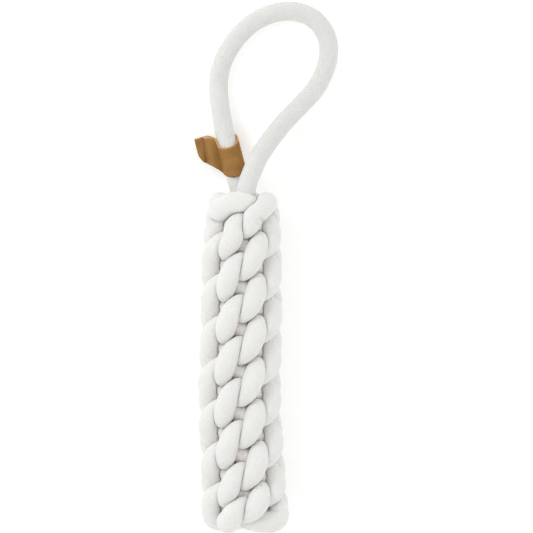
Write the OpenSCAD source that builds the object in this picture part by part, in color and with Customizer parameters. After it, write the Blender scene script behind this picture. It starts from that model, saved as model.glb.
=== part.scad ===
// Rope training bumper: a soft cylinder of knotted rope with a hand loop and a leather tab.
// It lies on the ground with the loop towards +Y. The origin is under the middle of the whole part, on the ground.
// The body is a four-strand crown sinnet. In each row every strand folds over its neighbour and under the next,
// and comes out three eighths of a turn further round, so the outside shows eight columns of slanting segments.

/* [Rope] */
// Diameter of the rope
rope_d = 14; // [13.5:0.1:14]
// Thickness of the rope where rows squeeze it inside the knot
squeezed_t = 7.4; // [6.5:0.1:7.6]
// Thickness of the braided jacket round the rope's core
jacket_t = 2; // [1.5:0.1:2.5]

/* [Knotted body] */
// Number of rows of segments along the body
rows = 16; // [8:2:16]
// Distance between two rows along the body
row_pitch = 15.2; // [14.9:0.1:15.3]
// Distance from the body's axis to the rope's centre in an outer segment
body_r = 22.8; // [22.4:0.1:23.4]
// Direction of the first column of segments round the body's axis
first_column = 67.5; // [60:0.5:75]

/* [Leather tab] */
// Width of the leather strip along the rope
tab_w = 24; // [20:0.5:25]
// Thickness of the leather
leather_t = 1.4; // [1:0.1:1.6]
// Gap between the leather and the rope
tab_gap = 0.4; // [0.3:0.05:0.5]
// Distance from the rope's axis to the seam
seam_x = 18.5; // [17:0.5:20]
// Number of stitches in the seam
stitches = 6; // [4:1:7]

/* [Rope ends] */
// Diameter of a cut end where thread binds it
bound_d = 8; // [7:0.5:9]
// Thickness of the thread binding
binding_t = 0.8; // [0.6:0.1:1]

/* [Hidden] */

rope_r = rope_d / 2;
strands = 4;
quarter = 360 / strands;
row_turn = 135;
strand_sides = 10;
handle_sides = 12;

// Where the body's axis lies, and where its first row is
body_x = -18;
body_y = 37.5;
body_z = 30.4;

// One pass of a strand from the middle of an outer segment to the next: turn in degrees, then distance from the
// axis and travel along the body, both in rope diameters
crown_pass = [[0, 1.72, 0], [5, 1.66, 0.34], [11, 1.50, 0.61], [20, 1.28, 0.78], [38, 1.02, 0.79],
              [67.5, 0.80, 0.54], [97, 1.02, 0.29], [115, 1.28, 0.30], [124, 1.50, 0.47], [130, 1.66, 0.74]];
// How a strand leaves the neck and wraps round it before its first segment
neck_wrap = [[-150, 0.35, -0.10], [-125, 0.80, -0.20], [-98, 1.20, -0.38], [-70, 1.44, -0.52],
             [-44, 1.60, -0.54], [-24, 1.70, -0.36], [-10, 1.76, -0.16]];
// The last pass, which tucks the strand's end up into the middle of the body
last_pass = [[0, 1.70, 0], [4, 1.67, 0.16], [10, 1.54, 0.28], [20, 1.30, 0.32], [38, 1.02, 0.28],
             [62, 0.84, 0.12], [86, 0.76, -0.08], [106, 0.70, -0.36], [120, 0.62, -0.66], [132, 0.55, -0.96]];
// The shoulder narrows towards the neck, and the body swells a little towards its end
shoulder_narrowing = 0.18;
shoulder_rows = 3;
body_swell = 0.006;
// How far the last rows are pulled up tight, and over how many rows
last_pull = 0.70;
pull_rows = 2.8;
pull_before_end = 3.2;
// The first whole segments stand more upright than the others: degrees for each rope diameter, degrees of shift,
// and the reach of both along the body in rope diameters
first_lean = 10;
first_shift = 6;
first_spread = 0.5;
// Sideways drift of the body's axis, at every second row
axis_drift = [1, 0, 0, -0.5, -1.5, -1, 1, 2, 3.5];

// Route of the rope's centre round the hand loop, from the left leg in the neck to the right one
loop_route = [[-17.6, 41, 25.2], [-19.6, 55, 23], [-22.2, 65, 21], [-25.7, 78.5, 17.2], [-29.2, 92, 13.5],
              [-32, 106, 11], [-34.4, 122, 9.2], [-35, 133, 7.3], [-33.8, 143, 7], [-30.8, 152, 7],
              [-25.8, 161, 7], [-19, 170, 7], [-10, 178, 7], [2, 184.2, 7], [17, 186.8, 7], [31, 183.5, 7],
              [40, 175.5, 7], [45, 165, 7], [45.6, 154.5, 7], [43.4, 145, 7], [40, 137, 7], [34.8, 128.3, 7.4],
              [26.8, 119.6, 9], [18.4, 110.8, 12], [10.7, 102, 16], [3.8, 93.3, 20], [-2, 84.6, 25],
              [-6.8, 76.5, 29.5], [-10.6, 68, 33], [-13.4, 60, 36], [-15.4, 51, 37.5], [-16.8, 41, 36.4]];
// First and last route point of each stretch: the legs out of the neck, the part of each leg that bends when the
// loop is lifted, and the bow of the loop
left_leg = [0, 4];
left_bend = [4, 6];
bow = [6, 22];
right_bend = [22, 25];
right_leg = [25, 31];
// The leather wraps the left leg between these places in the route
tab_from = 2;
tab_to = 4;

// Thread of the seam and the holes it goes through, and where the row of stitches begins and ends on the flap
stitch_d = 0.8;
hole_clearance = 0.1;
seam_from = 2.5;
seam_to = 16.5;

// --- geometry helpers ---

function smooth(t) = let (u = min(1, max(0, t))) u * u * (3 - 2 * u);
function unit(v) = v / norm(v);

// A smooth curve through the given points, with n steps between two of them
function spline_point(p, i, t) =
    let (last = len(p) - 1, a = p[max(0, i - 1)], b = p[i], c = p[min(last, i + 1)], d = p[min(last, i + 2)])
    0.5 * (2 * b + (c - a) * t + (2 * a - 5 * b + 4 * c - d) * t * t + (3 * b - a - 3 * c + d) * t * t * t);
function spline(p, n) =
    [for (i = [0 : len(p) - 2], k = [0 : n - 1]) spline_point(p, i, k / n), p[len(p) - 1]];

// Directions along a curve that starts and ends in the two given ones, and a side direction that turns as little
// as it can
function tangents(p, ends) =
    let (last = len(p) - 1)
    [for (i = [0 : last]) unit(i == 0 ? ends[0] : i == last ? ends[1] : p[i + 1] - p[i - 1])];
function own_ends(p) = [p[1] - p[0], p[len(p) - 1] - p[len(p) - 2]];
function side_of(t, u) = unit(u - t * (u * t));
function sides_along(t) =
    [for (i = 0, u = side_of(t[0], [0.3, 0.2, 1]); i < len(t); i = i + 1, u = side_of(t[min(i, len(t) - 1)], u)) u];

// Faces of a closed tube of rings, and of a hollow one with its inner rings listed after its outer ones
function wall_faces(rings, n, first, flip) =
    [for (i = [0 : rings - 2], k = [0 : n - 1])
        let (a = first + i * n + k, b = first + i * n + (k + 1) % n)
        flip ? [a, a + n, b + n, b] : [a, b, b + n, a + n]];
function end_face(n, first, flip) = [for (k = [0 : n - 1]) first + (flip ? n - 1 - k : k)];
function rim_faces(n, outer, inner, flip) =
    [for (k = [0 : n - 1]) let (m = (k + 1) % n)
        flip ? [outer + k, outer + m, inner + m, inner + k] : [outer + k, inner + k, inner + m, outer + m]];

// Rings of round section along a curve
function round_rings(p, ends, n, r) =
    let (t = tangents(p, ends), u = sides_along(t))
    [for (i = [0 : len(p) - 1], k = [0 : n - 1])
        let (a = 360 * k / n) p[i] + r * (cos(a) * u[i] + sin(a) * cross(t[i], u[i]))];

module round_tube(p, ends, n, r) {
    polyhedron(round_rings(p, ends, n, r),
        concat(wall_faces(len(p), n, 0, true), [end_face(n, 0, false)], [end_face(n, (len(p) - 1) * n, true)]));
}

module hollow_tube(p, ends, n, outer_r, inner_r) {
    rings = len(p);
    inner = rings * n;
    polyhedron(concat(round_rings(p, ends, n, outer_r), round_rings(p, ends, n, inner_r)),
        concat(wall_faces(rings, n, 0, true), wall_faces(rings, n, inner, false),
            rim_faces(n, 0, inner, true), rim_faces(n, inner - n, inner + inner - n, false)));
}

// --- the knotted body ---

function shoulder(z) = 1 - shoulder_narrowing * (1 - smooth((z + 0.6) / shoulder_rows)) + body_swell * max(0, z - 3);
function pulled_up(z) =
    z - last_pull * smooth((z * rope_d / row_pitch - rows + pull_before_end) / pull_rows);
function upright(z) = let (past = z - row_pitch / rope_d)
    (first_lean * past + first_shift) * exp(-pow(past / first_spread, 2));
function drift(z) = let (at = min(len(axis_drift) - 1.01, max(0, z * rope_d / row_pitch / 2)), i = floor(at))
    axis_drift[i] + (axis_drift[i + 1] - axis_drift[i]) * (at - i);

// Turn, distance and travel of every control point of one strand
function strand_steps(j) = let (pitch = row_pitch / rope_d) concat(
    [for (s = neck_wrap) [quarter * j + s[0], s[1], s[2]]],
    [for (row = [0 : rows - 1], s = row == rows - 1 ? last_pass : crown_pass)
        [quarter * j + row_turn * row + s[0], s[1], s[2] + row * pitch]]);

// The body's own frame runs from the neck down: its z is -Y of the part, and its y is +Z
function body_point(turn, r, z) =
    let (a = first_column + turn - upright(z), rr = r * rope_d * shoulder(z) * body_r / (1.68 * rope_d))
    [body_x + drift(z) + rr * cos(a), body_y - rope_d * pulled_up(z), body_z + rr * sin(a)];
function strand_points(j) = [for (s = strand_steps(j)) body_point(s[0], s[1], s[2])];

// A ring of the strand: round outside, and squeezed along the body where rows press on each other
function strand_rings(j) =
    let (s = strand_steps(j), p = strand_points(j), t = tangents(p, own_ends(p)), u = sides_along(t))
    [for (i = [0 : len(p) - 1], k = [0 : strand_sides - 1])
        let (a = 360 * k / strand_sides,
            v = cos(a) * u[i] + sin(a) * cross(t[i], u[i]),
            outward = smooth((s[i][1] - 1.1) / 0.5),
            bound = i > len(p) - 4,
            squeezed_r = squeezed_t / 2 * (pulled_up(s[i][2] + 0.5) - pulled_up(s[i][2] - 0.5)),
            thin = bound ? bound_d / 2 : squeezed_r + (rope_r - squeezed_r) * outward,
            wide = bound ? bound_d / 2 : rope_r,
            c = v * side_of(t[i], [0, 1, 0]),
            r = 1 / sqrt(c * c / (thin * thin) + (1 - c * c) / (wide * wide)))
        p[i] + r * v];

module strand(j) {
    rings = len(strand_steps(j));
    n = strand_sides;
    polyhedron(strand_rings(j),
        concat(wall_faces(rings, n, 0, true), [end_face(n, 0, false)], [end_face(n, (rings - 1) * n, true)]));
}

module left_handle_strand() {
    color("ivory") strand(0);
}

module right_handle_strand() {
    color("ivory") strand(2);
}

module front_second_strand() {
    color("ivory") strand(1);
}

module back_second_strand() {
    color("ivory") strand(3);
}

// The middle of the second rope, laid across the foot of the neck
module second_rope_bight() {
    from = strand_points(1)[0];
    to = strand_points(3)[0];
    dip = 4;
    bight = spline([from, (from + to) / 2 - [0, dip, 0], to], 3);
    color("ivory") round_tube(bight, own_ends(bight), strand_sides, squeezed_t / 2);
}

// Thread bound round each of the four cut ends, tucked up inside the last row
module end_whippings() {
    color("tan")
    for (j = [0 : strands - 1]) {
        p = strand_points(j);
        last = len(p) - 1;
        end = [p[last - 2], p[last - 1], p[last]];
        inner_r = bound_d / 2 / cos(180 / strand_sides);
        hollow_tube(end, own_ends(end), strand_sides, inner_r + binding_t, inner_r);
    }
}

// --- the hand loop ---

// A stretch of the route, with n steps between two of its points, and the directions at its two ends
function route_part(part, n) =
    [for (i = [part[0] : part[1] - 1], k = [0 : n - 1]) spline_point(loop_route, i, k / n), loop_route[part[1]]];
function route_direction(i) = loop_route[min(len(loop_route) - 1, i + 1)] - loop_route[max(0, i - 1)];
function route_ends(part) = [route_direction(part[0]), route_direction(part[1])];

module rope_part(part, n, r) {
    round_tube(route_part(part, n), route_ends(part), handle_sides, r);
}

module jacket_part(part, n) {
    hollow_tube(route_part(part, n), route_ends(part), handle_sides, rope_r, rope_r - jacket_t);
}

module handle_legs() {
    color("ivory") {
        rope_part(left_leg, 2, rope_r);
        rope_part(right_leg, 2, rope_r);
    }
}

module handle_bend_jackets() {
    color("ivory") {
        jacket_part(left_bend, 3);
        jacket_part(right_bend, 2);
    }
}

module handle_bend_cores() {
    color("linen") {
        rope_part(left_bend, 3, rope_r - jacket_t);
        rope_part(right_bend, 2, rope_r - jacket_t);
    }
}

module handle_bow_jacket() {
    color("ivory") jacket_part(bow, 3);
}

module handle_bow_core() {
    color("linen") rope_part(bow, 3, rope_r - jacket_t);
}

// --- the leather tab ---

bore_r = rope_r + tab_gap;
ring_r = bore_r + leather_t;
tab_axis = loop_route[tab_to] - loop_route[tab_from];
tab_mid = (loop_route[tab_to] + loop_route[tab_from]) / 2;
// Distance from the rope's axis where the two layers of leather meet
layers_meet = 13;

// Puts what is drawn along Z, with its flap along Y, onto the left leg
module on_left_leg() {
    translate(tab_mid)
        rotate([0, acos(tab_axis[2] / norm(tab_axis)), atan2(tab_axis[1], tab_axis[0])])
            children();
}

// Outline of the two layers laid together, as distance from the rope and place along it
flap_outline = [[layers_meet - 1.5, -6], [16, -3], [19, 0.5], [23.5, 6.5], [21.7, 19], [15, 17.5],
                [layers_meet - 1.5, 12]];

// Puts its children at each hole of the seam, with Z through the leather
module at_seam_holes() {
    for (i = [0 : stitches])
        translate([0, seam_x, seam_from + (seam_to - seam_from) * i / stitches])
            rotate([0, 90, 0])
                children();
}

module leather_tab() {
    color("peru") on_left_leg()
        difference() {
            union() {
                cylinder(h = tab_w, r = ring_r, center = true, $fn = 64);
                translate([0, 0, -tab_w / 2])
                    linear_extrude(tab_w)
                        polygon([[-ring_r + 0.3, 1], [-leather_t, layers_meet], [leather_t, layers_meet],
                                 [ring_r - 0.3, 1]]);
                rotate([90, 0, 90])
                    translate([0, 0, -leather_t])
                        linear_extrude(2 * leather_t)
                            polygon(flap_outline);
            }
            cylinder(h = tab_w + 2, r = bore_r, center = true, $fn = 64);
            translate([0, 0, -tab_w / 2 - 1])
                linear_extrude(tab_w + 2)
                    polygon([[-bore_r + 0.3, 1], [0, layers_meet - 2], [bore_r - 0.3, 1]]);
            at_seam_holes()
                cylinder(h = 3 * leather_t, d = stitch_d + hole_clearance, center = true, $fn = 16);
        }
}

// One thread through every hole of the seam, lying along both faces between them
module tab_stitching() {
    face_x = leather_t + stitch_d / 2 + hole_clearance / 2;
    color("saddlebrown") on_left_leg() {
        at_seam_holes()
            cylinder(h = 2 * face_x, d = stitch_d, center = true, $fn = 16);
        for (face = [-1, 1])
            translate([face * face_x, seam_x, seam_from - stitch_d / 2])
                cylinder(h = seam_to - seam_from + stitch_d, d = stitch_d, $fn = 16);
    }
}

left_handle_strand();
right_handle_strand();
front_second_strand();
back_second_strand();
second_rope_bight();
handle_legs();
handle_bend_jackets();
handle_bend_cores();
handle_bow_jacket();
handle_bow_core();
leather_tab();
tab_stitching();
end_whippings();
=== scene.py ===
"""The looks of a rope training bumper: a knotted rope body, a hand loop and a leather tab sewn round one leg.

Lengths are in metres unless a name ends in _MM, and the rope's own shapes are worked out in rope diameters.
"""

import math

import bpy
import numpy as np
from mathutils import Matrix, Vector
from mathutils.kdtree import KDTree


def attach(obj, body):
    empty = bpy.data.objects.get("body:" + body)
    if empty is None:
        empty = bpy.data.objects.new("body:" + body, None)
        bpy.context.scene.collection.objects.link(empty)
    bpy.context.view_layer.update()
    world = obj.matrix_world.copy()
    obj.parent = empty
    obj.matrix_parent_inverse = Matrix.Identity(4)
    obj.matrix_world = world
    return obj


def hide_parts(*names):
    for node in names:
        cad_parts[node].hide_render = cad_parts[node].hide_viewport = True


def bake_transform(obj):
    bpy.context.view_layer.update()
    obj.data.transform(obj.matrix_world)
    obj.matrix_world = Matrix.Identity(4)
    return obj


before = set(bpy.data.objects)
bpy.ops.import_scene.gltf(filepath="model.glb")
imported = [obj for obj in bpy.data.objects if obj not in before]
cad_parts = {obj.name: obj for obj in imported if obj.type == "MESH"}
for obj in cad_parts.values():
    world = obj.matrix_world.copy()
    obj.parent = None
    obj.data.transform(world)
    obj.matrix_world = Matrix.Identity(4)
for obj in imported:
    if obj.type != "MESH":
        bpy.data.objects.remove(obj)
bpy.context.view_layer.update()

MM = 0.001

# --- dimensions shared with the model -----------------------------------------------------------------------

ROPE_D_MM = 14
JACKET_T_MM = 2
ROWS = 16
ROW_PITCH_MM = 15.2
BODY_R_MM = 22.8
OUTER_SEGMENT = 1.68
FIRST_COLUMN = 67.5
ROW_TURN = 135
QUARTER = 90
STRANDS = 4
BODY_X_MM, BODY_Y_MM, BODY_Z_MM = -18, 37.5, 30.4
BOUND_D_MM = 8
LEATHER_T_MM = 1.4
TAB_GAP_MM = 0.4

# One pass of a strand: turn in degrees, distance from the axis and travel along the body in rope diameters. Five
# of its inner points lie a little further out than the model's, so that they show between the segments
CROWN_PASS = [[0, 1.72, 0], [5, 1.66, 0.34], [11, 1.50, 0.61], [20, 1.31, 0.78], [38, 1.07, 0.79],
              [67.5, 0.85, 0.54], [97, 1.07, 0.29], [115, 1.31, 0.30], [124, 1.50, 0.47], [130, 1.66, 0.74]]
NECK_WRAP = [[-150, 0.35, -0.10], [-125, 0.80, -0.20], [-98, 1.20, -0.38], [-70, 1.44, -0.52],
             [-44, 1.60, -0.54], [-24, 1.70, -0.36], [-10, 1.76, -0.16]]
LAST_PASS = [[0, 1.70, 0], [4, 1.67, 0.16], [10, 1.54, 0.28], [20, 1.30, 0.32], [38, 1.02, 0.28],
             [62, 0.84, 0.12], [86, 0.76, -0.08], [106, 0.70, -0.36], [120, 0.62, -0.66], [132, 0.55, -0.96]]
SHOULDER_NARROWING = 0.18
SHOULDER_ROWS = 3
BODY_SWELL = 0.006
LAST_PULL = 0.70
PULL_FROM_ROW = 12.8
PULL_ROWS = 2.8
AXIS_DRIFT_MM = [1, 0, 0, -0.5, -1.5, -1, 1, 2, 3.5]
FIRST_LEAN = 10
FIRST_SHIFT = 6
FIRST_SPREAD = 0.5

# Route of the rope's centre round the hand loop
LOOP_ROUTE_MM = [
    [-17.6, 41, 25.2], [-19.6, 55, 23], [-22.2, 65, 21], [-25.7, 78.5, 17.2], [-29.2, 92, 13.5],
    [-32, 106, 11], [-34.4, 122, 9.2], [-35, 133, 7.3], [-33.8, 143, 7], [-30.8, 152, 7],
    [-25.8, 161, 7], [-19, 170, 7], [-10, 178, 7], [2, 184.2, 7], [17, 186.8, 7], [31, 183.5, 7],
    [40, 175.5, 7], [45, 165, 7], [45.6, 154.5, 7], [43.4, 145, 7], [40, 137, 7], [34.8, 128.3, 7.4],
    [26.8, 119.6, 9], [18.4, 110.8, 12], [10.7, 102, 16], [3.8, 93.3, 20], [-2, 84.6, 25],
    [-6.8, 76.5, 29.5], [-10.6, 68, 33], [-13.4, 60, 36], [-15.4, 51, 37.5], [-16.8, 41, 36.4]]
CORE_FROM, CORE_TO = 4, 25
TAB_FROM, TAB_TO = 2, 4

# --- curves -------------------------------------------------------------------------------------------------


def smooth(t):
    t = np.clip(t, 0, 1)
    return t * t * (3 - 2 * t)


def spline(points, steps):
    """A smooth curve through the points, with a number of steps between two of them."""
    p = np.array(points, float)
    padded = np.vstack([p[:1], p, p[-1:]])
    t = (np.arange(steps) / steps)[:, None]
    pieces = []
    for a, b, c, d in zip(padded[:-3], padded[1:-2], padded[2:-1], padded[3:]):
        pieces.append(0.5 * (2 * b + (c - a) * t + (2 * a - 5 * b + 4 * c - d) * t ** 2
                             + (3 * b - a - 3 * c + d) * t ** 3))
    return np.vstack(pieces + [p[-1:]])


def lengths_along(line):
    return np.r_[0, np.cumsum(np.linalg.norm(np.diff(line, axis=0), axis=1))]


def evenly(line, step):
    """The same curve with its points one step apart."""
    at = lengths_along(line)
    count = max(3, int(round(at[-1] / step)))
    wanted = np.linspace(0, at[-1], count + 1)
    return np.stack([np.interp(wanted, at, line[:, axis]) for axis in range(line.shape[1])], 1)


def frames_along(line):
    """Tangents and two side directions that turn as little as they can."""
    tangents = np.gradient(line, axis=0)
    tangents /= np.linalg.norm(tangents, axis=1)[:, None]
    side = np.array([0.3, 0.2, 1.0])
    sides = []
    for tangent in tangents:
        side = side - tangent * (side @ tangent)
        side = side / np.linalg.norm(side)
        sides.append(side)
    sides = np.array(sides)
    return tangents, sides, np.cross(tangents, sides)


def spokes(line, count):
    """Unit directions from each point of a line to its surface all round."""
    _, side, up = frames_along(line)
    angle = np.arange(count) / count * 2 * math.pi
    return np.cos(angle)[None, :, None] * side[:, None] + np.sin(angle)[None, :, None] * up[:, None]


# --- the knotted body, in rope diameters --------------------------------------------------------------------

ROPE_D = ROPE_D_MM * MM
PITCH = ROW_PITCH_MM / ROPE_D_MM


def shoulder(z):
    return 1 - SHOULDER_NARROWING * (1 - smooth((z + 0.6) / SHOULDER_ROWS)) + BODY_SWELL * np.maximum(0, z - 3)


def pulled_up(z):
    return z - LAST_PULL * smooth((z / PITCH - PULL_FROM_ROW) / PULL_ROWS)


def axis_drift(z):
    return np.interp(z / PITCH / 2, np.arange(len(AXIS_DRIFT_MM)), AXIS_DRIFT_MM)


def upright(z):
    """How far the first whole segments stand back from the lean of the others, in degrees."""
    past = z - PITCH
    return (FIRST_LEAN * past + FIRST_SHIFT) * np.exp(-(past / FIRST_SPREAD) ** 2)


def strand_points(j):
    """Control points of one strand, in metres, from the neck to its tucked end."""
    steps = [[QUARTER * j + s[0], s[1], s[2]] for s in NECK_WRAP]
    for row in range(ROWS):
        way = LAST_PASS if row == ROWS - 1 else CROWN_PASS
        steps += [[QUARTER * j + ROW_TURN * row + s[0], s[1], s[2] + row * PITCH] for s in way]
    turn, distance, travel = np.array(steps).T
    angle = np.radians(FIRST_COLUMN + turn - upright(travel))
    distance = distance * BODY_R_MM / OUTER_SEGMENT * shoulder(travel)
    return MM * np.stack([BODY_X_MM + axis_drift(travel) + distance * np.cos(angle),
                          BODY_Y_MM - ROPE_D_MM * pulled_up(travel),
                          BODY_Z_MM + distance * np.sin(angle)], 1)


# --- soft ropes that press flat where they touch ------------------------------------------------------------

KNOT_STEP = 0.06
KNOT_SIDES = 44
KNOT_RADIUS = 0.54
LOOP_RADIUS = 0.495
MOST_SWELL = 1.04
KEPT_AREA = 0.95
MOST_GROWTH = 1.4
# The areas are averaged over this many rings to each side
AREA_REACH = 6
SWELL_ROUNDS = 3
SOFTEN_ROUNDS = 3
REACH = 1.35
OWN_LENGTH = 1.6
CORNER_POWER = 8


def pressed_tubes(lines, radii, sides):
    """Rings of soft ropes along lines, each flattened halfway to every rope that it touches. All in diameters.

    A section starts round, is cut back to the planes that lie halfway to its neighbours, and swells where it
    is free to keep most of its area. Returns the rings of each rope.
    """
    every = np.vstack(lines)
    owner = np.concatenate([np.full(len(line), i) for i, line in enumerate(lines)])
    place = np.concatenate([lengths_along(line) for line in lines])
    tree = KDTree(len(every))
    for i, point in enumerate(every):
        tree.insert(point, i)
    tree.balance()
    shared = 2 * AREA_REACH + 1
    tubes = []
    for own, (line, radius) in enumerate(zip(lines, radii)):
        out = spokes(line, sides)
        at = lengths_along(line)
        nearness = np.zeros((len(line), sides))
        for i, point in enumerate(line):
            near = np.array([n for _, n, _ in tree.find_range(point, REACH)])
            near = near[(owner[near] != own) | (np.abs(place[near] - at[i]) > OWN_LENGTH)]
            if len(near):
                offset = every[near] - point
                nearness[i] = np.maximum(0, (2 * (out[i] @ offset.T) / (offset ** 2).sum(1)).max(1))
        free = radius.copy()
        for _ in range(SWELL_ROUNDS):
            reach = (free[:, None] ** -CORNER_POWER + nearness ** CORNER_POWER) ** (-1 / CORNER_POWER)
            area = (reach ** 2).mean(1) / radius ** 2
            area = np.convolve(np.pad(area, AREA_REACH, mode="edge"), np.ones(shared) / shared, "valid")
            grown = free * np.clip(KEPT_AREA / area, 1, MOST_GROWTH) ** 0.5
            free = np.clip(grown, radius, radius * MOST_SWELL)
        reach = (free[:, None] ** -CORNER_POWER + nearness ** CORNER_POWER) ** (-1 / CORNER_POWER)
        for _ in range(SOFTEN_ROUNDS):
            reach = np.vstack([reach[:1], (reach[:-2] + 2 * reach[1:-1] + reach[2:]) / 4, reach[-1:]])
            reach = (np.roll(reach, 1, 1) + 2 * reach + np.roll(reach, -1, 1)) / 4
        tubes.append(line[:, None] + out * reach[:, :, None])
    return tubes


FLOOR_CLEAR = 0.0003
FLOOR_SOFT = 0.0012


def rest_on_floor(points):
    """Flattens what would reach into the floor, with a soft edge round the flat."""
    z = points[..., 2] - FLOOR_CLEAR
    points = points.copy()
    points[..., 2] = FLOOR_CLEAR + (z + np.sqrt(z ** 2 + FLOOR_SOFT ** 2)) / 2
    return points


# --- meshes -------------------------------------------------------------------------------------------------


def add_object(name, points, faces):
    mesh = bpy.data.meshes.new(name)
    mesh.from_pydata([tuple(p) for p in points], [], faces)
    mesh.polygons.foreach_set("use_smooth", np.ones(len(mesh.polygons), bool))
    obj = bpy.data.objects.new(name, mesh)
    bpy.context.scene.collection.objects.link(obj)
    return obj


def grid_faces(rings, sides, first=0, flip=False):
    faces = []
    for i in range(rings - 1):
        for k in range(sides):
            a, b = first + i * sides + k, first + i * sides + (k + 1) % sides
            faces.append((a, a + sides, b + sides, b) if flip else (a, b, b + sides, a + sides))
    return faces


def map_rings(obj, rings, around, along):
    """A UV map called braid: U goes round each ring, and V is the length along the piece in metres."""
    layer = obj.data.uv_layers.new(name="braid")
    uv = np.zeros((len(obj.data.loops), 2), np.float32)
    count = (rings - 1) * around
    i, k = np.divmod(np.arange(count), around)
    u = np.stack([k, k + 1, k + 1, k], 1) / around
    v = np.stack([along[i], along[i], along[i + 1], along[i + 1]], 1)
    uv[:4 * count, 0] = u.ravel()
    uv[:4 * count, 1] = v.ravel()
    layer.data.foreach_set("uv", uv.ravel())


def tube(name, rings):
    """A closed tube through rings of points, with its ends capped."""
    count, sides, _ = rings.shape
    faces = grid_faces(count, sides)
    faces.append(tuple(range(sides))[::-1])
    faces.append(tuple((count - 1) * sides + k for k in range(sides)))
    obj = add_object(name, rings.reshape(-1, 3), faces)
    map_rings(obj, count, sides, lengths_along(rings.mean(1)))
    return obj


def hollow_tube(name, outer, inner):
    """A tube with a wall, open at both ends."""
    count, sides, _ = outer.shape
    first = count * sides
    last = (count - 1) * sides
    faces = grid_faces(count, sides) + grid_faces(count, sides, first, flip=True)
    for k in range(sides):
        m = (k + 1) % sides
        faces.append((k, first + k, first + m, m))
        faces.append((last + k, last + m, first + last + m, first + last + k))
    obj = add_object(name, np.vstack([outer.reshape(-1, 3), inner.reshape(-1, 3)]), faces)
    map_rings(obj, count, sides, lengths_along(outer.mean(1)))
    return obj


def point_value(obj, name, values):
    obj.data.attributes.new(name, "FLOAT", "POINT").data.foreach_set("value", values.astype(np.float32))


def points_of(obj):
    points = np.zeros(len(obj.data.vertices) * 3)
    obj.data.vertices.foreach_get("co", points)
    return points.reshape(-1, 3)


RECESS_FROM_MM = 25.5
RECESS_DEPTH_MM = 5.5
RECESS_TO_ROW = 15


def mark_recess_bounce_light(obj):
    """How deep each point lies inside the knot, for the painted bounce light that makes the rope between the
    segments warmer and lighter.
    """
    x, y, z = points_of(obj).T / MM
    travel = (BODY_Y_MM - y) / ROPE_D_MM
    off_axis = np.hypot(x - BODY_X_MM - axis_drift(travel), z - BODY_Z_MM) / shoulder(travel)
    in_body = smooth((travel + 0.9) / 0.5) * smooth((RECESS_TO_ROW - travel / PITCH) / 1.5)
    point_value(obj, "recess_bounce_light", smooth((RECESS_FROM_MM - off_axis) / RECESS_DEPTH_MM) * in_body)


# --- materials ----------------------------------------------------------------------------------------------


class Shader:
    """A new material and short ways to add nodes to it."""

    def __init__(self, name, roughness):
        self.material = bpy.data.materials.new(name)
        self.material.use_nodes = True
        self.tree = self.material.node_tree
        self.surface = self.tree.nodes["Principled BSDF"]
        self.surface.inputs["Roughness"].default_value = roughness

    def add(self, kind, output=0, settings=None, **inputs):
        """A new node. Inputs go by their names, with _ for a space, or by their places as i0, i1 and so on."""
        node = self.tree.nodes.new(kind)
        for key, value in (settings or {}).items():
            setattr(node, key, value)
        for key, value in inputs.items():
            socket = node.inputs[int(key[1:]) if key[0] == "i" and key[1:].isdigit() else key.replace("_", " ")]
            self.put(socket, value)
        return node.outputs[output]

    def put(self, socket, value):
        if isinstance(value, bpy.types.NodeSocket):
            self.tree.links.new(value, socket)
        else:
            socket.default_value = value

    def math(self, operation, a, b=0.0):
        return self.add("ShaderNodeMath", settings={"operation": operation}, i0=a, i1=b)

    def blend(self, factor, a, b):
        """Colour a where factor is 0 and colour b where it is 1."""
        node = self.tree.nodes.new("ShaderNodeMix")
        node.data_type = "RGBA"
        for socket, value in zip((node.inputs[0], node.inputs[6], node.inputs[7]), (factor, a, b)):
            self.put(socket, value)
        return node.outputs[2]

    def remap(self, value, low, high, to_low=0.0, to_high=1.0):
        return self.add("ShaderNodeMapRange", Value=value, From_Min=low, From_Max=high, To_Min=to_low,
                        To_Max=to_high)

    def object_place(self):
        return self.add("ShaderNodeTexCoord", output=3)

    def noise(self, scale, detail=2.0):
        return self.add("ShaderNodeTexNoise", Vector=self.object_place(), Scale=scale, Detail=detail)

    def cells(self, scale):
        """Distance to the middle of the nearest of many scattered cells."""
        return self.add("ShaderNodeTexVoronoi", Vector=self.object_place(), Scale=scale)

    def along_piece(self):
        """How far round and how far along a rope or a thread each point is."""
        place = self.add("ShaderNodeUVMap", settings={"uv_map": "braid"})
        split = self.add("ShaderNodeSeparateXYZ", i0=place).node
        return split.outputs[0], split.outputs[1]

    def value_of(self, name):
        return self.add("ShaderNodeAttribute", output=2, settings={"attribute_name": name})

    def finish(self, colour, height=None, bump_m=0.0, strength=1.0):
        self.put(self.surface.inputs["Base Color"], colour)
        if height is not None:
            normal = self.add("ShaderNodeBump", Height=height, Distance=bump_m, Strength=strength)
            self.put(self.surface.inputs["Normal"], normal)
        return self.material


def rgb(*values):
    return (*values, 1.0)


YARNS_ROUND = 24
YARNS_PER_M = 520


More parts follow.
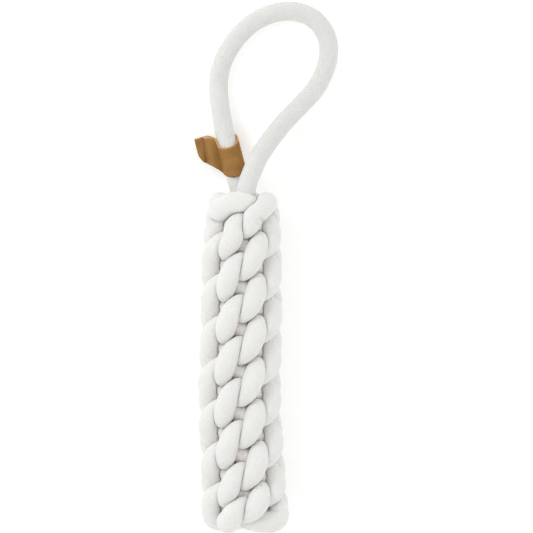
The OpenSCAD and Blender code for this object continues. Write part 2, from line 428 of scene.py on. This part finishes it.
def braided_cotton(name, dark, light, groove_shade, relief):
    """Off-white cotton: fine yarns braided over and under each other on the slant."""
    s = Shader(name, 0.92)
    s.surface.inputs["Subsurface Weight"].default_value = 0.45
    s.surface.inputs["Subsurface Radius"].default_value = (1.0, 0.85, 0.7)
    s.surface.inputs["Subsurface Scale"].default_value = 0.004
    s.surface.inputs["Sheen Weight"].default_value = 0.25
    s.surface.inputs["Sheen Roughness"].default_value = 0.5
    s.surface.inputs["Specular IOR Level"].default_value = 0.2
    round_it, along_it = s.along_piece()
    across = s.math("MULTIPLY", round_it, math.pi * YARNS_ROUND)
    along = s.math("MULTIPLY", along_it, math.pi * YARNS_PER_M)
    wander = s.remap(s.noise(330.0, 2.0), 0.2, 0.8, -1.3, 1.3)
    across = s.math("ADD", across, wander)
    right = s.math("SINE", s.math("ADD", across, along))
    left = s.math("SINE", s.math("SUBTRACT", across, along))
    over = s.remap(s.math("MULTIPLY", right, left), -0.35, 0.35)
    ridge_right = s.math("POWER", s.math("ABSOLUTE", right), 0.6)
    ridge_left = s.math("POWER", s.math("ABSOLUTE", left), 0.6)
    weave = s.math("ADD", s.math("MULTIPLY", ridge_right, over),
                   s.math("MULTIPLY", ridge_left, s.math("SUBTRACT", 1.0, over)))
    fibres = s.noise(3200.0, 3.0)
    uneven = s.noise(420.0, 2.0)
    nap = s.math("ADD", s.math("MULTIPLY", fibres, 0.5), s.math("MULTIPLY", uneven, 1.2))
    height = s.math("ADD", weave, nap)
    mottled = s.blend(s.remap(s.noise(140.0, 3.0), 0.3, 0.7), dark, light)
    # Painted shade: the grooves between yarns are darkened towards the groove colour, following the weave's
    # height
    shaded = s.blend(s.remap(weave, 0.9, 0.1, 0.0, 0.45), mottled, groove_shade)
    # Painted bounce light: the rope deep between the segments is tinted warmer and lighter
    bounce_warmed = s.blend(s.math("MULTIPLY", s.value_of("recess_bounce_light"), 0.85), shaded, rgb(1.0, 0.965, 0.925))
    # Sparse specks of seed husk, on far fewer places than there are segments
    fleck = s.remap(s.cells(46.0), 0.035, 0.02)
    colour = s.blend(s.math("MULTIPLY", fleck, 0.55), bounce_warmed, rgb(0.45, 0.30, 0.20))
    return s.finish(colour, height, relief, 0.8)


def core_cotton():
    s = Shader("core_cotton", 0.95)
    colour = s.blend(s.noise(300.0, 3.0), rgb(0.66, 0.62, 0.52), rgb(0.78, 0.74, 0.64))
    return s.finish(colour, s.noise(2500.0, 4.0), 0.0003, 0.6)


THREAD_PLIES = 2
THREAD_TWISTS_PER_M = 900


def thread(name, dark, light):
    """Waxed thread: two fine plies twisted together, with painted shade darkening the grooves between the plies.
    """
    s = Shader(name, 0.6)
    round_it, along_it = s.along_piece()
    twist = s.math("ADD", s.math("MULTIPLY", round_it, 2 * math.pi * THREAD_PLIES),
                   s.math("MULTIPLY", along_it, 2 * math.pi * THREAD_TWISTS_PER_M))
    ply = s.remap(s.math("SINE", twist), -1.0, 1.0)
    # Painted shade: the colour follows the plies' height, darker between them
    return s.finish(s.blend(ply, dark, light), ply, 0.0001, 0.8)


def leather(name, dark, light, roughness, grain_scale, grain):
    """Cloudy, streaked leather with fine pores, and a painted highlight along the strip's upper edge."""
    s = Shader(name, roughness)
    s.surface.inputs["Specular IOR Level"].default_value = 0.22
    cloudy = s.noise(95.0, 4.0)
    streaks = s.noise(420.0, 3.0)
    tone = s.math("ADD", s.math("MULTIPLY", cloudy, 0.8), s.math("MULTIPLY", streaks, 0.3))
    colour = s.blend(s.remap(tone, 0.35, 0.75), dark, light)
    # Painted highlight: the colour turns lighter and more orange near the strip's upper edge
    colour = s.blend(s.math("MULTIPLY", s.value_of("edge_highlight"), 0.6), colour, rgb(0.62, 0.36, 0.15))
    height = s.math("ADD", s.cells(grain_scale), s.math("MULTIPLY", streaks, 1.5))
    return s.finish(colour, height, grain, 0.5)


# --- camera and light ---------------------------------------------------------------------------------------

CAMERA_HEIGHT = 4.0
# Width of the view, and the height above the floor at which it is that wide
VIEW_WIDTH = 0.3886
VIEW_LEVEL = 0.026
SENSOR_MM = 36
VIEW_X, VIEW_Y = 0.00015, -0.0004


def make_camera():
    data = bpy.data.cameras.new("camera")
    data.sensor_width = SENSOR_MM
    data.lens = SENSOR_MM * (CAMERA_HEIGHT - VIEW_LEVEL) / VIEW_WIDTH
    data.clip_end = 20
    camera = bpy.data.objects.new("camera", data)
    camera.location = (VIEW_X, VIEW_Y, CAMERA_HEIGHT)
    bpy.context.scene.collection.objects.link(camera)
    bpy.context.scene.camera = camera


def make_light(name, place, size, watts):
    """A square lamp that points at the origin."""
    data = bpy.data.lights.new(name, "AREA")
    data.size = size
    data.energy = watts
    light = bpy.data.objects.new(name, data)
    light.location = place
    light.rotation_euler = (-Vector(place)).to_track_quat("-Z", "Y").to_euler()
    light.visible_camera = False
    bpy.context.scene.collection.objects.link(light)


def make_studio():
    make_light("key", (-1.3, 0.9, 1.6), 1.2, 12.5)
    make_light("fill", (1.5, -0.8, 1.4), 1.6, 3.5)
    world = bpy.data.worlds.new("studio")
    world.use_nodes = True
    world.node_tree.nodes["Background"].inputs["Color"].default_value = rgb(1.0, 1.0, 1.0)
    world.node_tree.nodes["Background"].inputs["Strength"].default_value = 0.80
    bpy.context.scene.world = world
    bpy.context.scene.view_settings.view_transform = "Standard"


def make_floor():
    half = 6.0
    floor = add_object("floor", [(-half, -half, 0), (half, -half, 0), (half, half, 0), (-half, half, 0)],
                       [(0, 1, 2, 3)])
    s = Shader("pale_floor", 0.9)
    colour = s.blend(s.noise(6.0), rgb(0.90, 0.90, 0.90), rgb(0.93, 0.93, 0.93))
    s.surface.inputs["Specular IOR Level"].default_value = 0.1
    s.surface.inputs["Emission Color"].default_value = rgb(1, 1, 1)
    s.surface.inputs["Emission Strength"].default_value = 0.25
    floor.data.materials.append(s.finish(colour))


# --- the ropes ----------------------------------------------------------------------------------------------

STRAND_NAMES = ["left_handle", "front_second", "right_handle", "back_second"]
# Colours of the cotton in its darker and lighter patches, and the painted shade in the grooves between yarns
BODY_COTTON = [rgb(0.90, 0.905, 0.875), rgb(0.93, 0.93, 0.905), rgb(0.78, 0.77, 0.73)]
BODY_RELIEF = 0.00045
# The loop's rope is the same cotton as the body's: this is a lit copy of its colours, set lighter and with darker
# painted groove shade, for how the light falls on the loop
LOOP_COTTON = [rgb(0.945, 0.943, 0.895), rgb(0.975, 0.97, 0.925), rgb(0.47, 0.46, 0.41)]
LOOP_RELIEF = 0.0006
# The rest is in rope diameters
LOOP_STEP = 0.07
BOUND_LENGTH = 0.85
BOUND_OVER = 0.35
# The rope is slacker, and so thicker, where it wraps the neck and in the last rows
SLACK = 0.05
SLACK_OVER = 0.8
NECK_START = 0.9
NECK_LENGTH = 4.2
END_LENGTH = 7.5
END_SLACK_LENGTH = 5


def strand_radius(line):
    """Full round, and bound down to a thinner end."""
    at = lengths_along(line)
    bound = BOUND_D_MM / ROPE_D_MM / 2
    last = at - at[-1] + END_LENGTH
    slack = smooth((at - NECK_START) / SLACK_OVER) * (1 - smooth((at - NECK_LENGTH) / SLACK_OVER))
    slack += smooth(last / SLACK_OVER) * (1 - smooth((last - END_SLACK_LENGTH) / SLACK_OVER))
    full = KNOT_RADIUS + SLACK * slack
    return bound + (full - bound) * smooth((at[-1] - at - BOUND_LENGTH) / BOUND_OVER)


def make_ropes():
    """The hand loop's rope with its core, and the four strands of the knot, pressed against each other."""
    loop_line = evenly(spline(LOOP_ROUTE_MM, 12) * MM / ROPE_D, LOOP_STEP)
    strand_lines = [evenly(spline(strand_points(j), 12) / ROPE_D, KNOT_STEP) for j in range(STRANDS)]
    lines = [loop_line] + strand_lines
    radii = [np.full(len(loop_line), LOOP_RADIUS)] + [strand_radius(line) for line in strand_lines]
    tubes = pressed_tubes(lines, radii, KNOT_SIDES)
    make_loop(loop_line * ROPE_D, tubes[0] * ROPE_D)
    cotton = braided_cotton("braided_cotton", *BODY_COTTON, BODY_RELIEF)
    for j, rings in enumerate(tubes[1:]):
        name = STRAND_NAMES[j]
        piece = tube(name + "_rope", rest_on_floor(rings * ROPE_D))
        mark_recess_bounce_light(piece)
        piece.data.materials.append(cotton)
        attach(piece, "body")
        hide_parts(name + "_strand")
    make_bight(cotton)
    make_bindings([line * ROPE_D for line in strand_lines])


# Play between the jacket and its core, as a share of the rope's radius
JACKET_PLAY = 0.02


def make_loop(line, rings):
    """The jacket of the hand loop, which bends where the loop lifts."""
    outer = rest_on_floor(rings)
    centre = line[:, None]
    inner = centre + (outer - centre) * (1 - JACKET_T_MM / (ROPE_D_MM / 2) + JACKET_PLAY)
    piece = hollow_tube("hand_loop_rope", outer, inner)
    mark_recess_bounce_light(piece)
    piece.data.materials.append(braided_cotton("braided_cotton_loop", *LOOP_COTTON, LOOP_RELIEF))
    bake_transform(piece)
    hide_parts("handle_legs", "handle_bend_jackets", "handle_bow_jacket")
    make_core()


CORE_YARNS = 7
CORE_TWISTS_PER_M = 22
CORE_STEP = 0.0015
CORE_SIDES = 42
# Radius of the core between two yarns and how far a yarn stands out, as shares of the room in the jacket
CORE_GROOVE = 0.86
CORE_LOBE = 0.12


def make_core():
    """Seven yarns laid together inside the jacket."""
    line = evenly(spline(np.array(LOOP_ROUTE_MM[CORE_FROM:CORE_TO + 1]) * MM, 10), CORE_STEP)
    angle = np.arange(CORE_SIDES) / CORE_SIDES * 2 * math.pi
    turn = lengths_along(line) * CORE_TWISTS_PER_M * 2 * math.pi
    lobes = np.abs(np.cos(CORE_YARNS / 2 * (angle[None] + turn[:, None])))
    radius = (ROPE_D_MM / 2 - JACKET_T_MM) * MM * (CORE_GROOVE + CORE_LOBE * lobes)
    piece = tube("hand_loop_core", line[:, None] + spokes(line, CORE_SIDES) * radius[:, :, None])
    piece.data.materials.append(core_cotton())
    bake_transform(piece)
    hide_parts("handle_bend_cores", "handle_bow_core")


BIGHT_DIP = 0.004
BIGHT_R = 0.0037
BIGHT_STEP = 0.0008
BIGHT_SIDES = 24


def make_bight(cotton):
    """The middle of the second rope, laid across the foot of the neck."""
    start, end = strand_points(1)[0], strand_points(3)[0]
    middle = (start + end) / 2 - [0, BIGHT_DIP, 0]
    line = evenly(spline([start, middle, end], 12), BIGHT_STEP)
    piece = tube("second_rope_middle", line[:, None] + spokes(line, BIGHT_SIDES) * BIGHT_R)
    mark_recess_bounce_light(piece)
    piece.data.materials.append(cotton)
    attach(piece, "body")
    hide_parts("second_rope_bight")


def joined(name, tubes):
    """Several closed tubes of the same number of sides as one object."""
    points, faces, along = [], [], []
    for rings in tubes:
        count, sides, _ = rings.shape
        first = sum(len(p) for p in points)
        faces += grid_faces(count, sides, first)
        faces.append(tuple(first + k for k in range(sides))[::-1])
        faces.append(tuple(first + (count - 1) * sides + k for k in range(sides)))
        points.append(rings.reshape(-1, 3))
        at = lengths_along(rings.mean(1))
        i, k = np.divmod(np.arange((count - 1) * sides), sides)
        along.append(np.stack([np.stack([k, k + 1, k + 1, k], 1) / sides,
                               np.stack([at[i], at[i], at[i + 1], at[i + 1]], 1)], 2).reshape(-1, 2))
        along.append(np.zeros((2 * sides, 2)))
    obj = add_object(name, np.vstack(points), faces)
    obj.data.uv_layers.new(name="braid").data.foreach_set("uv", np.vstack(along).astype(np.float32).ravel())
    return obj


BINDING_THREAD_R = 0.0004
BINDING_TURNS = 12
BINDING_PITCH = 0.00083
BINDING_TURN_POINTS = 22
BINDING_SIDES = 8
# Bare rope between the binding and the cut, and how far the thread's centre stands off the rope in thread radii
BARE_END = 0.001
BINDING_OFF = 0.8


def make_bindings(lines):
    """Thread wound round each cut end."""
    coils = []
    for line in lines:
        at = lengths_along(line)
        start = at[-1] - BINDING_TURNS * BINDING_PITCH - BARE_END
        place = np.linspace(start, at[-1] - BARE_END, BINDING_TURNS * BINDING_TURN_POINTS)
        centre = np.stack([np.interp(place, at, line[:, axis]) for axis in range(3)], 1)
        _, side, up = frames_along(centre)
        turn = (place - start) / BINDING_PITCH * 2 * math.pi
        radius = BOUND_D_MM / 2 * MM + BINDING_THREAD_R * BINDING_OFF
        coil = centre + radius * (np.cos(turn)[:, None] * side + np.sin(turn)[:, None] * up)
        coils.append(coil[:, None] + spokes(coil, BINDING_SIDES) * BINDING_THREAD_R)
    piece = joined("end_bindings", coils)
    piece.data.materials.append(thread("binding_thread", rgb(0.66, 0.61, 0.50), rgb(0.82, 0.77, 0.66)))
    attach(piece, "body")
    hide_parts("end_whippings")


# --- the leather tab ----------------------------------------------------------------------------------------

ROUTE = np.array(LOOP_ROUTE_MM, float)
TAB_MIDDLE = (ROUTE[TAB_TO] + ROUTE[TAB_FROM]) / 2 * MM
TAB_AXIS = (ROUTE[TAB_TO] - ROUTE[TAB_FROM]) / np.linalg.norm(ROUTE[TAB_TO] - ROUTE[TAB_FROM])
# Towards the flap, level, and up through the leather
TAB_OUT = np.cross([0, 0, 1], TAB_AXIS) / np.linalg.norm(np.cross([0, 0, 1], TAB_AXIS))
TAB_UP = np.cross(TAB_AXIS, TAB_OUT)
RING_R_MM = ROPE_D_MM / 2 + TAB_GAP_MM + LEATHER_T_MM / 2
# The band is wound at a slant: its middle lies lowest along the rope on top and highest underneath
BAND_MIDDLE_MM = 3.2
BAND_SLANT_MM = 8.4
BAND_HALF_MM = 11.6
# Beside the rope the band's upper edge rises to meet the flap
BAND_RISE_MM = 5
BAND_RISE_FROM = -50
BAND_RISE_OVER = 20
# From this distance off the rope's centre the flap's layers stand further apart at the low edge and closer at the
# high one. Layers at the pressed height lie together all the way
FLAP_FROM_MM = 9
FLAP_OVER_MM = 5
PRESSED_MM = 0.75
FLAP_OPENING = 0.5
STRIP_STEP_MM = 0.55
STRIP_POINTS = 34
RIM_POINTS = 5
# Width of the painted highlight along the strip's upper edge
EDGE_HIGHLIGHT_MM = 0.7

# Middle of the leather's thickness, from the flap's upper layer to the ring and from the ring to its lower
# layer: distance from the rope, height, and the strip's two edges along the rope
UPPER_LAYER_MM = [
    [22.3, 1.5, 8.6, 21.2], [21.7, 2.1, 5.2, 21.1], [20.6, 2.4, 3.2, 21.0], [19.2, 2.0, 2.0, 20.8],
    [17.8, 1.2, 1.2, 20.5], [16.9, 0.8, 0.6, 20.3], [15.9, 1.8, -0.8, 20.0], [14.6, 3.2, -2.6, 19.7],
    [12.8, 3.9, -5.0, 19.2], [11.0, 3.4, -6.8, 18.8], [9.4, 2.6, -8.4, 18.2]]
LOWER_LAYER_MM = [
    [9.4, -3.6, -3.6, 20.8], [12.0, -2.9, -2.0, 21.8], [14.6, -1.7, -0.4, 22.0], [16.9, -0.85, 1.4, 21.9],
    [20.0, -0.9, 4.0, 21.7], [22.0, -0.5, 8.6, 21.5]]
RING_ANGLES = [-74, -64, -54, -40, -15, 15, 45, 75, 105, 135, 165, 195, 220, 240]
SEAM_OUT_MM = 16.9
SEAM_LEAN_MM = 1.9
# The lean grows from nothing beside the rope and dies away at the flap's end
LEAN_FROM_MM = 10
LEAN_OVER_MM = 5
LEAN_TO_MM = 22.3
LEAN_BACK_MM = 4


def tab_point(out, height, along):
    """A point of the tab, from millimetres out from the rope, up through the leather and along the rope."""
    out, height, along = np.broadcast_arrays(out, height, along)
    return TAB_MIDDLE + MM * (
        out[..., None] * TAB_OUT + height[..., None] * TAB_UP + along[..., None] * TAB_AXIS)


def seam_lean(out, share):
    """How far the crease along the seam leans out, at a share of the way from the low edge to the high one."""
    near, far = smooth((out - LEAN_FROM_MM) / LEAN_OVER_MM), smooth((LEAN_TO_MM - out) / LEAN_BACK_MM)
    return SEAM_LEAN_MM * (0.5 - share) * near * far


def ring_row(angle):
    """A row of the strip where it goes round the rope, at an angle from the top."""
    turn = math.radians(angle)
    middle = BAND_MIDDLE_MM - BAND_SLANT_MM * math.cos(turn)
    rise = BAND_RISE_MM * float(smooth((BAND_RISE_FROM - angle) / BAND_RISE_OVER))
    return [-RING_R_MM * math.sin(turn), RING_R_MM * math.cos(turn), middle - BAND_HALF_MM,
            middle + BAND_HALF_MM + rise]


def make_tab():
    """The leather strip: a layer of the flap, once round the rope and back along the other layer."""
    rows = UPPER_LAYER_MM + [ring_row(angle) for angle in RING_ANGLES] + LOWER_LAYER_MM
    strip = evenly(spline(rows, 10), STRIP_STEP_MM)
    out, height, low, high = strip.T
    tangent = np.gradient(strip[:, :2], axis=0)
    tangent /= np.linalg.norm(tangent, axis=1)[:, None]
    face = np.stack([tangent[:, 1], -tangent[:, 0]], 1)
    half = LEATHER_T_MM / 2
    across = np.linspace(0, 1, STRIP_POINTS)
    rim = np.radians(np.linspace(0, 180, RIM_POINTS + 2))[1:-1]
    # Once round the strip's section: along the outer face, round one edge, back along the inner face
    level_face, no_edge = np.ones(STRIP_POINTS), np.zeros(STRIP_POINTS)
    lift = np.r_[level_face, np.cos(rim), -level_face, -np.cos(rim)]
    share = np.r_[across, np.ones(RIM_POINTS), across[::-1], np.zeros(RIM_POINTS)]
    past = np.r_[no_edge, np.sin(rim), no_edge, -np.sin(rim)]
    flap = smooth((out - FLAP_FROM_MM) / FLAP_OVER_MM)[:, None]
    bulge = 1 + FLAP_OPENING * flap * (0.5 - share[None]) * 2
    pressed = np.sign(height)[:, None] * PRESSED_MM
    along = (low + half)[:, None] + (high - low - 2 * half)[:, None] * share[None] + half * past[None]
    level = pressed * flap + (height[:, None] - pressed * flap) * bulge
    # The strip's own ends are rounded off
    ends = np.minimum(np.arange(len(strip)), np.arange(len(strip))[::-1])
    thickness = half * np.clip(np.sqrt((ends + 0.6) / 2), 0, 1)[:, None] * lift[None]
    reach = out[:, None] + seam_lean(out[:, None], share[None])
    rings = tab_point(reach + face[:, :1] * thickness, level + face[:, 1:] * thickness, along)
    piece = tube("leather_strip", rings)
    for material in tab_materials():
        piece.data.materials.append(material)
    grain, flesh, edge, low_edge = range(4)
    kind = np.r_[np.full(STRIP_POINTS - 1, grain), np.full(RIM_POINTS + 1, edge),
                 np.full(STRIP_POINTS - 1, flesh), np.full(RIM_POINTS + 1, low_edge)]
    index = np.r_[np.tile(kind, len(strip) - 1), [edge, edge]].astype(np.int32)
    piece.data.polygons.foreach_set("material_index", index)
    # Painted highlight along the strip's upper edge, fading within its width
    edge_highlight = np.exp(-(1 - share)[None] * (high - low)[:, None] / EDGE_HIGHLIGHT_MM)
    point_value(piece, "edge_highlight", edge_highlight.ravel())
    stitches = make_stitches()
    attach(piece, "tab")
    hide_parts("leather_tab")


def tab_materials():
    """The strip's grain side, flesh side, cut edge and shaded lower edge, in the order of make_tab."""
    grain = leather("tan_leather", rgb(0.272, 0.134, 0.034), rgb(0.385, 0.200, 0.057), 0.7, 1500.0, 0.00012)
    flesh = leather("leather_flesh_side", rgb(0.62, 0.56, 0.42), rgb(0.72, 0.67, 0.54), 0.95, 2600.0, 0.0002)
    edge = leather("leather_cut_edge", rgb(0.58, 0.33, 0.12), rgb(0.72, 0.44, 0.18), 0.8, 2600.0, 0.0001)
    low_edge = leather("leather_lower_edge", rgb(0.22, 0.115, 0.03), rgb(0.32, 0.17, 0.05), 0.8, 2600.0, 0.0001)
    return grain, flesh, edge, low_edge


STITCHES = 6
SEAM_FROM_MM = 4.4
SEAM_TO_MM = 18.4
SEAM_FULL_MM = 20.5
SEAM_LEVEL_MM = 0.8
THREAD_R_MM = 0.32
THREAD_SUNK_MM = 0.35
THREAD_RISE_MM = 0.5
THREAD_SIDES = 10
STITCH_POINTS = 12
# The loose tail: distance out from the seam, height, and distance along the rope past the last hole
TAIL_MM = [[0, 1.2, 0], [0, 2.0, 0.9], [0.8, 2.2, 1.8], [2.4, 1.6, 2.3], [4.2, 1.2, 2.4]]


def seam_out(along):
    return SEAM_OUT_MM + seam_lean(SEAM_OUT_MM, along / SEAM_FULL_MM)


def make_stitches():
    """One thread on each face of the flap, dipping into the leather at every hole, and a loose tail."""
    holes = np.linspace(SEAM_FROM_MM, SEAM_TO_MM, STITCHES + 1)
    along = np.linspace(SEAM_FROM_MM, SEAM_TO_MM, STITCHES * STITCH_POINTS + 1)
    rise = np.abs(np.sin((along - SEAM_FROM_MM) / (holes[1] - holes[0]) * math.pi)) ** 0.5
    face = SEAM_LEVEL_MM + LEATHER_T_MM / 2
    lines = []
    for side in (1, -1):
        level = side * (face - THREAD_SUNK_MM + THREAD_RISE_MM * rise)
        lines.append(tab_point(seam_out(along), level, along))
    top = float(seam_out(SEAM_TO_MM))
    tail = [[top + out, height, SEAM_TO_MM + past] for out, height, past in TAIL_MM]
    tail = evenly(spline(tail, 8), 0.25)
    lines.append(tab_point(tail[:, 0], tail[:, 1], tail[:, 2]))
    threads = [line[:, None] + spokes(line, THREAD_SIDES) * THREAD_R_MM * MM for line in lines]
    piece = joined("tab_thread", threads)
    piece.data.materials.append(thread("seam_thread", rgb(0.15, 0.07, 0.03), rgb(0.30, 0.17, 0.09)))
    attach(piece, "tab")
    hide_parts("tab_stitching")
    return piece


# --- the scene ----------------------------------------------------------------------------------------------

make_camera()
make_ropes()
make_tab()
make_floor()
make_studio()
